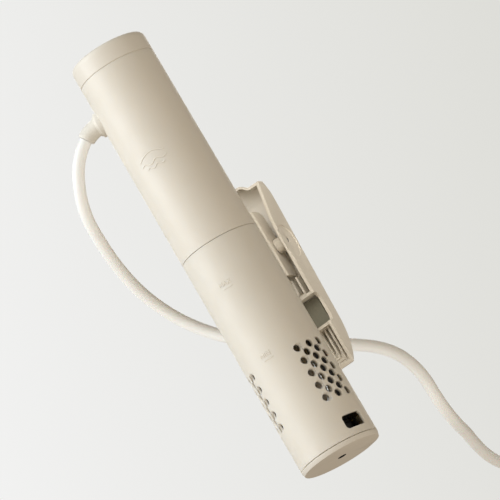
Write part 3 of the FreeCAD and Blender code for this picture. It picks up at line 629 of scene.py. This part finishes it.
CORD_ROUTE = [
    (-40.9, -11.0, 275.0), (-50.8, -13.6, 267.6), (-62.6, -11.0, 250.6), (-72.0, -1.3, 234.0),
    (-78.5, 16.0, 215.5), (-83.3, 35.0, 196.3), (-83.5, 53.0, 175.8), (-75.5, 69.8, 151.5),
    (-57.0, 81.5, 127.0), (-29.0, 90.0, 104.5), (5.0, 95.0, 84.3), (33.5, 98.3, 63.3),
    (43.0, 103.0, 39.5), (38.0, 118.0, 16.0), (29.5, 151.0, 4.6), (15.0, 203.0, 4.3),
    (-2.0, 258.0, 4.3), (-17.5, 312.0, 4.3), (-29.0, 358.0, 4.3), (-36.5, 394.0, 4.3),
    (-38.0, 422.0, 4.3)]
CROSSING_ROUTE = [(60.2, 400.0, 13.5), (60.0, 386.0, 13.4)]
TAIL_ROUTE = [(60.0, 372.0, 13.3), (60.3, 359.0, 12.0), (61.0, 345.0, 8.3), (61.5, 332.0, 7.2)]
COIL_CENTRE = (22.0, 422.0)
COIL_OUTER_TURN_R = 60.0
COIL_PITCH = 8.75
COIL_RISE = 9.0
TURNS = 2.5
POINTS_PER_TURN = 16
STEPS_PER_POINT = 10


def coil_points():
    """Flat spiral: at turn t the radius is the outer one less pitch times t, going clockwise.

    Control points stand a little outside the wanted circle, because the smooth line cuts inside
    them. The last points rise by a power of one and a half, to pass over the outer turns.
    """
    steps = np.arange(1, int(TURNS * POINTS_PER_TURN) + 1)
    turn = steps / POINTS_PER_TURN
    outside = (3 + math.cos(2 * math.pi / POINTS_PER_TURN)) / 4
    radius = (COIL_OUTER_TURN_R - COIL_PITCH * turn) / outside
    angle = np.pi - 2 * np.pi * turn
    x = COIL_CENTRE[0] + radius * np.cos(angle)
    y = COIL_CENTRE[1] + radius * np.sin(angle)
    left = TURNS * POINTS_PER_TURN - steps
    z = CORD_R / MM + COIL_RISE * np.clip((2.5 - left) / 3.0, 0, 1) ** 1.5
    return np.stack([x, y, z], axis=1)


def smooth_route(points):
    """Points along the smooth spline that has these control points."""
    data = bpy.data.curves.new("cord_line", "CURVE")
    data.dimensions = "3D"
    data.resolution_u = STEPS_PER_POINT
    line = data.splines.new("NURBS")
    line.points.add(len(points) - 1)
    for spot, point in zip(line.points, points):
        spot.co = (*point, 1)
    line.order_u = 3
    line.use_endpoint_u = True
    line.resolution_u = STEPS_PER_POINT
    holder = bpy.data.objects.new("cord_line", data)
    bpy.context.scene.collection.objects.link(holder)
    bpy.context.view_layer.update()
    mesh = bpy.data.meshes.new_from_object(holder)
    path = np.array([spot.co for spot in mesh.vertices])
    bpy.data.objects.remove(holder)
    bpy.data.meshes.remove(mesh)
    return path


def mains_cord():
    """The whole cord as one tube along its smooth route."""
    path = smooth_route(np.concatenate([CORD_ROUTE, coil_points(), CROSSING_ROUTE, TAIL_ROUTE]) * MM)
    made = piece("mains_cord_jacket", [tube(path, CORD_R, 22)], cord_jacket, None, 60)
    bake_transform(made, "sleeve", "head", start=(0, 0, 0.02), end=(0, 0, 0.24))
    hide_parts("mains_cord", "cord_coil", "cord_tail")
    return made, path


def cord_tie():
    """Flat band round the coil's turns.

    A rounded rectangle of (radius, height), hollowed by a smaller one, is carried a short way
    round the coil's centre.
    """
    outer = rounded([(36.0, 0.15), (66.2, 0.15), (66.2, 9.1), (36.0, 9.1)], 3.4, 6)
    inner = rounded([(36.9, 0.5), (65.3, 0.5), (65.3, 8.4), (36.9, 8.4)], 2.9, 6)
    angle = np.radians(np.linspace(243, 254, 5))[:, None]
    walls = []
    for loop in (outer, inner):
        x = COIL_CENTRE[0] + loop[:, 0] * np.cos(angle)
        y = COIL_CENTRE[1] + loop[:, 0] * np.sin(angle)
        z = np.broadcast_to(loop[:, 1], x.shape)
        walls.append(np.stack([x, y, z], axis=-1) * MM)
    band = np.concatenate([walls[0], walls[1][::-1]])
    return piece("cord_tie", [(band, True)], tie_rubber, "sleeve", 40)


def plug_body(start):
    """Flat plug from rounded rectangles across -Y, and a ribbed boot in front of the cord.

    Along t from 0 to 1 the half width grows by a quarter sine to the shoulders, less a bell-shaped
    waist, and the half thickness grows evenly from the boot; both draw in at the tip. Each section
    is a superellipse, the square root of cos and sin. The boot widens with rings of a cosine.
    """
    x, y, z = start
    back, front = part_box("mains_plug")[1][1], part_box("mains_plug")[0][1]
    t = np.linspace(0, 1, 26)
    tip = np.clip((t - 0.93) / 0.07, 0, 1)
    waist = np.exp(-((t - 0.55) / 0.16) ** 2)
    width = 9.2 + 3.8 * np.sin(np.pi / 2 * np.clip(t * 1.25, 0, 1)) - 1.1 * waist - 1.2 * tip
    thick = 6.9 - 1.6 * np.clip((0.22 - t) / 0.22, 0, 1) - 0.9 * tip
    around, along_boot, rings = 56, 60, 6
    cos, sin = circle(around)
    across = np.sign(cos) * np.sqrt(np.abs(cos)) * width[:, None] * MM
    level = np.sign(sin) * np.sqrt(np.abs(sin)) * thick[:, None] * MM
    along = back + (front - back) * t[:, None] + np.zeros_like(across)
    body = np.stack([x + across, along, z + level], axis=-1)
    ends = [np.broadcast_to([x, along[row, 0], z], (1, around, 3)) for row in (0, -1)]
    body = np.concatenate([ends[0], body, ends[1]])
    run = np.linspace(0, 1, along_boot)
    ribs = (4.75 + 1.5 * run + 0.42 * np.cos(run * 2 * np.pi * rings)) * MM
    boot_line = np.stack([np.full(along_boot, x), y + (back - 1 * MM - y) * run,
                          np.full(along_boot, z)], axis=1)
    return [body, tube(boot_line, ribs, 32)]


def mains_plug():
    """Plug body with its ribbed boot, and two round pins with domed tips."""
    start = np.array(TAIL_ROUTE[-1]) * MM
    body = piece("plug_shell", plug_body(start), plug_plastic, "sleeve", 50)
    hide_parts("mains_plug", "plug_boot")
    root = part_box("plug_pins")[0][1]
    profile = [(0, 0), (1.5, 0.1), (1.95, 0.9), (2.0, 2.0), (2.0, 11.0), (1.9, 11.2), (2.0, 11.4),
               (2.0, 19.4), (0, 19.4)]
    pins = []
    for side in (-9.5, 9.5):
        spot = (start[0] + side * MM, root, start[2])
        pins.append(lathe(np.array(profile) * MM, 28, spot, "y"))
    pair = piece("plug_contacts", pins, pin_brass, "sleeve", 40)
    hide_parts("plug_pins")
    return body, pair


def turned(profile, origin, direction, segments=64):
    """Profile of (radius, reach) carried round a level direction, closed by a pole at each end."""
    side = np.array([-direction[1], direction[0], 0.0])
    cos, sin = circle(segments)
    radius, reach = np.asarray(profile, float).T
    around = side * cos[:, None] + np.array([0.0, 0.0, 1.0]) * sin[:, None]
    return origin + radius[:, None, None] * around + reach[:, None, None] * direction


def strain_relief(bend=24.0, points=28):
    """Two stepped flanges on the housing, and a soft neck bent down on an arc.

    The neck tapers evenly along the arc and draws in over its last few percent.
    """
    azimuth = math.radians(-75)
    out = np.array([math.sin(azimuth), -math.cos(azimuth), 0.0])
    level = np.array([0.0, 0.0, 279.0])
    flange = rounded_profile([(0, 19.4), (4.8, 19.4), (4.8, 26.4), (8.9, 26.4), (8.9, 29.9),
                              (7.5, 29.9), (7.5, 31.1), (0, 31.1)], 0.35)
    turn = np.linspace(1.0 / bend, math.radians(33.0), points)
    neck = out * 29.0 + level + np.outer(np.sin(turn), out * bend)
    neck[:, 2] -= bend * (1 - np.cos(turn))
    share = np.linspace(0, 1, points)
    taper = 6.35 - 0.3 * share - 0.7 * np.clip((share - 0.94) / 0.06, 0, 1)
    surfaces = [turned(flange * MM, level * MM, out), tube(neck * MM, taper * MM, 48)]
    made = piece("cord_boot", surfaces, relief_plastic, "head", 30)
    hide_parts("strain_relief")


# Tube: shells, marks and the top panel.

def top_cap():
    """Cap as one closed profile: skirt, seam lip, drafted side, rounded edge and panel seat."""
    top = HEIGHT / MM
    low = top - 14.65
    skirt = low - 5.9
    side = skin_radius(low * MM) / MM
    profile = [(24.9, skirt), (24.9, low - 0.33), (side - 0.5, low - 0.33), (side - 0.5, low),
               (side, low + 0.1), (side - 0.02, top - 4.2), (side - 0.3, top - 1.9),
               (side - 1.3, top - 0.6), (side - 3.6, top), (22.3, top), (22.25, top - 0.98),
               (12.0, top - 0.98), (12.0, top - 2.9), (23.2, top - 3.0), (23.2, skirt)]
    softness = [0.3, 0.1, 0.1, 0.1, 0.3, 0.4, 1.2, 1.4, 1.2, 0.12, 0.05, 0.1, 0.1, 0.5, 0.3]
    outline = rounded(profile, softness)
    made = piece("top_cap_shell", [(lathe(outline * MM, 160), True)], cap_plastic,
                 "head", 40)
    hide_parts("top_cap")


def touch_panel():
    """Glass disc with a rolled rim, and the diffuser ring round it with a shallow crown."""
    top = HEIGHT / MM
    seat = top - 0.95
    glass = rounded_profile([(0, seat), (20.0, seat), (20.0, top - 0.02), (0, top - 0.02)], 0.35)
    panel = piece("touch_glass", [lathe(glass * MM, 128)], panel_glass, "head", 40)
    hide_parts("touch_panel")
    band = rounded([(20.12, seat), (22.18, seat), (22.18, top - 0.1), (20.12, top - 0.1)],
                   [0.1, 0.1, 0.5, 0.5])
    glow = piece("light_ring_band", [(lathe(band * MM, 128), True)], diffuser, "head", 40)
    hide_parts("light_ring")


def segments_of(digit):
    """Strokes of a seven-segment figure one unit wide and two high."""
    bars = {"a": [(0, 2), (1, 2)], "b": [(1, 2), (1, 1)], "c": [(1, 1), (1, 0)],
            "d": [(0, 0), (1, 0)], "e": [(0, 1), (0, 0)], "f": [(0, 2), (0, 1)],
            "g": [(0, 1), (1, 1)]}
    lit = {"0": "abcdef", "5": "acdfg", "6": "acdefg"}
    return [bars[key] for key in lit[digit]]


def arc(radius, level, first, last, points):
    """Points on an arc of the panel, between two angles in degrees."""
    turn = np.radians(np.linspace(first, last, points))
    return list(zip(radius * np.cos(turn), level + radius * np.sin(turn)))


def panel_symbols():
    """Figures, a power sign, plus, minus and a clock, as thin raised strokes on the glass."""
    glass = HEIGHT - 0.03 * MM

    def flat(across, up, out):
        """Points on the glass."""
        return across * MM, up * MM, glass + out * MM

    figures = []
    for left, digit in zip((-8.6, -2.6, 5.2), "605"):
        for bar in segments_of(digit):
            figures.append([(left + 3.6 * x, 1.6 + 3.4 * y) for x, y in bar])
    point = [(2.6, 1.5), (3.1, 1.5)]
    minus = [(-13.0, -3.5), (-9.0, -3.5)]
    plus = [[(9.0, -3.5), (13.0, -3.5)], [(11.0, -5.5), (11.0, -1.5)]]
    power = [arc(2.6, -9.4, 125, 415, 16), [(0, -9.0), (0, -5.9)]]
    clock = [arc(1.7, 13.2, 0, 360, 17), [(0, 14.3), (0, 13.2), (0.8, 12.7)]]
    lines = figures + [point, minus] + plus + power + clock
    surfaces = [stroke(line, 0.55, 0.05, flat) for line in lines]
    piece("panel_symbols", surfaces, symbol_light, "head", 60)


LETTERS = {"M": [[(0, 0), (0, 1), (0.5, 0.35), (1, 1), (1, 0)]],
           "A": [[(0, 0), (0.5, 1), (1, 0)], [(0.22, 0.38), (0.78, 0.38)]],
           "X": [[(0, 0), (1, 1)], [(0, 1), (1, 0)]],
           "I": [[(0.5, 0), (0.5, 1)]],
           "N": [[(0, 0), (0, 1), (1, 0), (1, 1)]]}


def word_strokes(word, left, foot, width, height, gap):
    """Straight strokes of capital letters set side by side; an I is a third as wide."""
    lines = []
    for letter in word:
        room = width * (0.35 if letter == "I" else 1.0)
        for line in LETTERS[letter]:
            lines.append([(left + room * x, foot + height * y) for x, y in line])
        left += room + gap
    return lines


def skin_marks(name, lines, body, width, rise):
    """Raised strokes that follow the tube's skin at the front."""
    def place(across, up, out):
        """Points on the skin."""
        return on_skin(across * MM, up * MM, out * MM)

    surfaces = [stroke(line, width, rise, place) for line in lines]
    piece(name, surfaces, light_painted_mark_plastic, body, 60)


def marks():
    """Upper and lower water level, and a plain wave sign on the housing.

    The sign is a crest, half a cosine wide, over two ripples of one sine each.
    """
    for name, word, line in (("level_high", "MAX", 132.0), ("level_low", "MIN", 76.5)):
        lines = word_strokes(word, -4.3, line + 2.1, 2.35, 3.2, 0.85)
        lines.append([(-3.2, line), (4.2, line)])
        skin_marks(name, lines, "sleeve", 0.6, 0.26)
    half = 10.0
    x = np.linspace(-half, half, 21)
    wave = np.sin(x / half * 2 * np.pi)
    crest = list(zip(x, 236.0 + 3.2 * np.cos(x / half * np.pi / 2)))
    ripple = list(zip(x, 232.2 + 1.1 * wave))
    under = list(zip(x * 0.7, 228.8 + 0.9 * wave))
    skin_marks("wave_sign", [crest, ripple, under], "head", 0.9, 0.3)


def shells():
    """Moulded outer parts of the tube."""
    moulded_copy("sleeve", "sleeve_shell", shell_plastic, on_axis=True, sharp=50)
    moulded_copy("bottom_cap", "base_shell", base_plastic(), on_axis=True)
    moulded_copy("upper_housing", "housing_shell", shell_plastic, on_axis=True)
    moulded_copy("bottom_seal", "base_seal", seal_rubber)


# Clip.

def clip():
    """Lever, bracket, pad, screws, pin and spring."""
    moulded_copy("clip_lever", "lever_shell", clip_plastic, 0.45 * MM, 28)
    moulded_copy("clip_bracket", "bracket_shell", clip_plastic, 0.35 * MM, 28)
    moulded_copy("grip_pad", "grip_pad_rubber", pad_rubber, 0.4 * MM, 28)
    moulded_copy("bracket_screws", "saddle_screws", screw_steel, 0.12 * MM)
    pivot_pin()
    torsion_spring()


def pivot_pin():
    """Hinge pin as one profile with chamfered ends."""
    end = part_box("hinge_pin")[1][0] / MM
    profile = [(0, -end), (1.5, -end + 0.1), (1.98, -end + 0.6), (2.0, 0), (1.98, end - 0.6),
               (1.5, end - 0.1), (0, end)]
    surface = lathe(np.array(profile) * MM, 36, PIVOT, "x")
    made = piece("pivot_pin", [surface], shaft_steel, "head", 40)
    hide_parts("hinge_pin")


def torsion_spring(turns=6.5, half=7.0, coil=4.0, leg=11.0):
    """Wire round the pin: a helix, and a straight leg down from each of its ends."""
    turn = np.linspace(0, turns * 2 * np.pi, 240)
    helix = np.stack([np.linspace(-half, half, len(turn)), coil * np.cos(turn),
                      coil * np.sin(turn)], axis=1)
    run = np.linspace(0, 1, 8)[1:, None]
    start = helix[0] + run[::-1] * np.array([0.0, 0.4, -leg])
    end = helix[-1] + run * np.array([0.0, -0.6, -leg])
    path = np.concatenate([start, helix, end]) * MM + PIVOT
    made = piece("torsion_spring", [tube(path, 0.75 * MM, 12)], spring_steel,
                 "head", 60)
    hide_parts("clip_spring")


# Wet end and drive line.

def heating_tubes(pipe=3.0, gap=15.0, leg_points=11, bend_points=24):
    """Two hairpins, each two straight legs joined by a half circle, with a ferrule on each leg."""
    low, high = np.array(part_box("heating_element")) / MM
    spread = high[0] - pipe
    foot = low[2] + spread + pipe
    turn = np.linspace(0, np.pi, bend_points)
    share = np.linspace(0, 1, leg_points + 1)[:-1]
    ferrule = [(pipe, 145.5), (4.1, 145.9), (4.3, 147.0), (4.3, 150.0), (pipe, 150.0)]
    surfaces = []
    for y in (-gap, gap):
        down = np.stack([np.full(leg_points, spread), np.full(leg_points, y),
                         high[2] + (foot - high[2]) * share], axis=1)
        bend = np.stack([spread * np.cos(turn), np.full(bend_points, y),
                         foot - spread * np.sin(turn)], axis=1)
        up = down[::-1] * np.array([-1, 1, 1])
        surfaces.append(tube(np.concatenate([down, bend, up]) * MM, pipe * MM, 28))
        for x in (-spread, spread):
            surfaces.append((lathe(np.array(ferrule) * MM, 32, (x * MM, y * MM, 0)), True))
    made = piece("heating_tubes", surfaces, tube_steel, "head", 40)
    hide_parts("heating_element")


def wet_end():
    """Everything that shows below the head when it is lifted out."""
    heating_tubes()
    moulded_copy("bulkhead", "bulkhead_plug", wet_plastic, 0.2 * MM)
    moulded_copy("bulkhead_oring", "bulkhead_seal", seal_rubber)
    moulded_copy("shaft_seal", "shaft_lip_seal", seal_rubber)
    moulded_copy("shaft_carrier", "carrier_cage", wet_plastic, 0.3 * MM)
    moulded_copy("temperature_probe", "probe_sheath", tube_steel, 0, 40)
    moulded_copy("level_pins", "level_electrodes", tube_steel, 0.1 * MM)
    moulded_copy("lower_bush", "pump_bush", bronze, 0.1 * MM)
    moulded_copy("upper_bush", "plug_bush", bronze, 0.1 * MM)
    moulded_copy("drive_shaft", "long_shaft", shaft_steel)
    moulded_copy("motor_shaft", "armature_shaft", shaft_steel)
    moulded_copy("shaft_coupling", "coupling_sleeve", turned_alloy, 0.1 * MM)
    moulded_copy("impeller", "impeller_rotor", impeller_plastic, 0.25 * MM)
    # The rotor nut's near-black steel is painted shade, seen up through the intake bore.
    moulded_copy("impeller_nut", "rotor_nut", shaded_nut_steel, 0.15 * MM)


def dry_end():
    """Motor, boards and what carries them inside the housing."""
    moulded_copy("motor", "motor_can", motor_steel, 0.15 * MM)
    moulded_copy("motor_mount", "motor_plate", frame_plastic, 0.2 * MM)
    moulded_copy("inner_frame", "board_rails", frame_plastic, 0.2 * MM)
    moulded_copy("mount_screws", "plate_screws", screw_steel, 0.1 * MM)
    moulded_copy("motor_screws", "can_screws", screw_steel, 0.1 * MM)
    moulded_copy("power_board", "mains_board", board_lacquer, 0.1 * MM)
    moulded_copy("display_board", "panel_board", board_lacquer, 0.1 * MM)
    moulded_copy("power_parts", "mains_components", component_case, 0.25 * MM)
    moulded_copy("display_chips", "panel_components", component_case, 0.15 * MM)
    moulded_copy("wire_harness", "wire_bundle", wire_skin, 0, 40)
    moulded_copy("relief_nut", "boot_nut", frame_plastic, 0.2 * MM)


# Surroundings.

FLOOR_REACH = 30.0
FLOOR_Z = -0.2 * MM
FLOOR_FADE = (0.6, 2.6)


def floor():
    """Pale plane under the object, there only for a viewer above it.

    What is not a ray from the camera to the plane's upper side passes through it, and it fades
    out with the distance from the object.
    """
    mesh = bpy.data.meshes.new("floor")
    corners = [(x * FLOOR_REACH, y * FLOOR_REACH, FLOOR_Z)
               for x, y in ((-1, -1), (1, -1), (1, 1), (-1, 1))]
    mesh.from_pydata(corners, [], [(0, 1, 2, 3)])
    made = bpy.data.objects.new("floor", mesh)
    bpy.context.scene.collection.objects.link(made)
    finish = bpy.data.materials.new("floor")
    finish.use_nodes = True
    tree = finish.node_tree
    tree.nodes.clear()
    path = tree.nodes.new("ShaderNodeLightPath")
    side = tree.nodes.new("ShaderNodeNewGeometry")
    front = tree.nodes.new("ShaderNodeMath")
    front.operation = "SUBTRACT"
    front.use_clamp = True
    tree.links.new(path.outputs["Is Camera Ray"], front.inputs[0])
    tree.links.new(side.outputs["Backfacing"], front.inputs[1])
    spread = tree.nodes.new("ShaderNodeVectorMath")
    spread.operation = "LENGTH"
    tree.links.new(tree.nodes.new("ShaderNodeTexCoord").outputs["Object"], spread.inputs[0])
    near = tree.nodes.new("ShaderNodeMapRange")
    near.interpolation_type = "SMOOTHSTEP"
    for key, value in zip(("From Min", "From Max", "To Min", "To Max"), (*FLOOR_FADE, 1.0, 0.0)):
        near.inputs[key].default_value = value
    tree.links.new(spread.outputs["Value"], near.inputs["Value"])
    shown = tree.nodes.new("ShaderNodeMath")
    shown.operation = "MULTIPLY"
    tree.links.new(front.outputs[0], shown.inputs[0])
    tree.links.new(near.outputs["Result"], shown.inputs[1])
    clear = tree.nodes.new("ShaderNodeBsdfTransparent")
    paint = tree.nodes.new("ShaderNodeBsdfDiffuse")
    paint.inputs["Color"].default_value = (0.82, 0.82, 0.81, 1)
    mix = tree.nodes.new("ShaderNodeMixShader")
    tree.links.new(shown.outputs[0], mix.inputs["Fac"])
    tree.links.new(clear.outputs[0], mix.inputs[1])
    tree.links.new(paint.outputs[0], mix.inputs[2])
    out = tree.nodes.new("ShaderNodeOutputMaterial")
    tree.links.new(mix.outputs[0], out.inputs["Surface"])
    mesh.materials.append(finish)


BACKDROP_LIGHT = (0.885, 0.885, 0.878)
BACKDROP_DARK = (0.73, 0.728, 0.69)
AMBIENT_LOW = (0.52, 0.455, 0.375)
AMBIENT_HIGH = (0.17, 0.155, 0.12)


def surroundings(right, up):
    """Pale backdrop that darkens to the upper right, and a warm, dimmer light from all round.

    Both follow the direction looked in; the light from all round is stronger from below.
    """
    world = bpy.data.worlds.new("studio")
    bpy.context.scene.world = world
    world.use_nodes = True
    tree = world.node_tree
    tree.nodes.clear()

    def blend(source, first, last, low, high):
        """Background whose colour runs from low to high as source runs from first to last."""
        spread = tree.nodes.new("ShaderNodeMapRange")
        spread.inputs["From Min"].default_value = first
        spread.inputs["From Max"].default_value = last
        tree.links.new(source, spread.inputs["Value"])
        mix = tree.nodes.new("ShaderNodeMix")
        mix.data_type = "RGBA"
        mix.inputs["A"].default_value = (*low, 1)
        mix.inputs["B"].default_value = (*high, 1)
        tree.links.new(spread.outputs["Result"], mix.inputs["Factor"])
        shade = tree.nodes.new("ShaderNodeBackground")
        tree.links.new(mix.outputs["Result"], shade.inputs["Color"])
        return shade

    place = tree.nodes.new("ShaderNodeTexCoord").outputs["Generated"]
    across = tree.nodes.new("ShaderNodeVectorMath")
    across.operation = "DOT_PRODUCT"
    across.inputs[1].default_value = right * 1.4 + up * 0.41
    tree.links.new(place, across.inputs[0])
    seen = blend(across.outputs["Value"], -0.0775, 0.0775, BACKDROP_LIGHT, BACKDROP_DARK)
    rise = tree.nodes.new("ShaderNodeSeparateXYZ")
    tree.links.new(place, rise.inputs[0])
    ambient = blend(rise.outputs["Z"], -0.7, 0.7, AMBIENT_LOW, AMBIENT_HIGH)
    path = tree.nodes.new("ShaderNodeLightPath")
    mix = tree.nodes.new("ShaderNodeMixShader")
    tree.links.new(path.outputs["Is Camera Ray"], mix.inputs["Fac"])
    tree.links.new(ambient.outputs[0], mix.inputs[1])
    tree.links.new(seen.outputs[0], mix.inputs[2])
    out = tree.nodes.new("ShaderNodeOutputWorld")
    tree.links.new(mix.outputs[0], out.inputs["Surface"])


def softbox(name, direction, distance, size, power, colour):
    """Square area light that faces the middle of the tube and isn't seen itself."""
    data = bpy.data.lights.new(name, "AREA")
    data.shape = "SQUARE"
    data.size = size
    data.energy = power
    data.color = colour
    made = bpy.data.objects.new(name, data)
    bpy.context.scene.collection.objects.link(made)
    away = direction.normalized()
    made.rotation_mode = "QUATERNION"
    made.rotation_quaternion = away.to_track_quat("Z", "Y")
    made.location = Vector((0, 0, HEIGHT / 2)) + away * distance
    made.visible_camera = False
    return made


def only_on(lamp, *names):
    """Lets a lamp light, and be shaded by, only the named pieces."""
    lit = bpy.data.collections.new(lamp.name + "_pieces")
    for name in names:
        lit.objects.link(bpy.data.objects[name])
    lamp.light_linking.receiver_collection = lit
    lamp.light_linking.blocker_collection = lit


def lights(right, up, back):
    """Large key from the viewer's left, weak fills from front, side and behind, and two linked ones."""
    softbox("key", right * -0.95 + up * 0.06 + back * 0.20, 2.6, 2.2, 74.0, (0.955, 1.03, 1.11))
    softbox("front", Vector((0.25, -1.0, -0.05)), 2.4, 1.6, 8.0, (1.0, 0.975, 0.92))
    softbox("side", Vector((0.88, -0.5, 0.0)), 2.4, 1.8, 11.0, (1.0, 0.945, 0.87))
    softbox("back", Vector((-0.26, 0.97, 0.5)), 2.2, 1.6, 16.0, (1.0, 0.99, 0.97))
    inner = softbox("clip_fill", Vector((0.45, -0.85, 0.55)), 0.45, 0.3, 1.25, (1.0, 0.98, 0.92))
    only_on(inner, "lever_shell", "bracket_shell", "grip_pad_rubber", "saddle_screws")
    under = softbox("cord_fill", Vector((-0.25, -0.35, -1.0)), 1.8, 1.2, 11.0, (0.98, 1.0, 1.0))
    only_on(under, "mains_cord_jacket")


bpy.context.scene.view_settings.view_transform = "Standard"
right, up, back = camera()
cord, cord_path = mains_cord()
plug, pins = mains_plug()
tie = cord_tie()
strain_relief()
shells()
top_cap()
touch_panel()
panel_symbols()
marks()
clip()
wet_end()
dry_end()
floor()
surroundings(right, up)
lights(right, up, back)
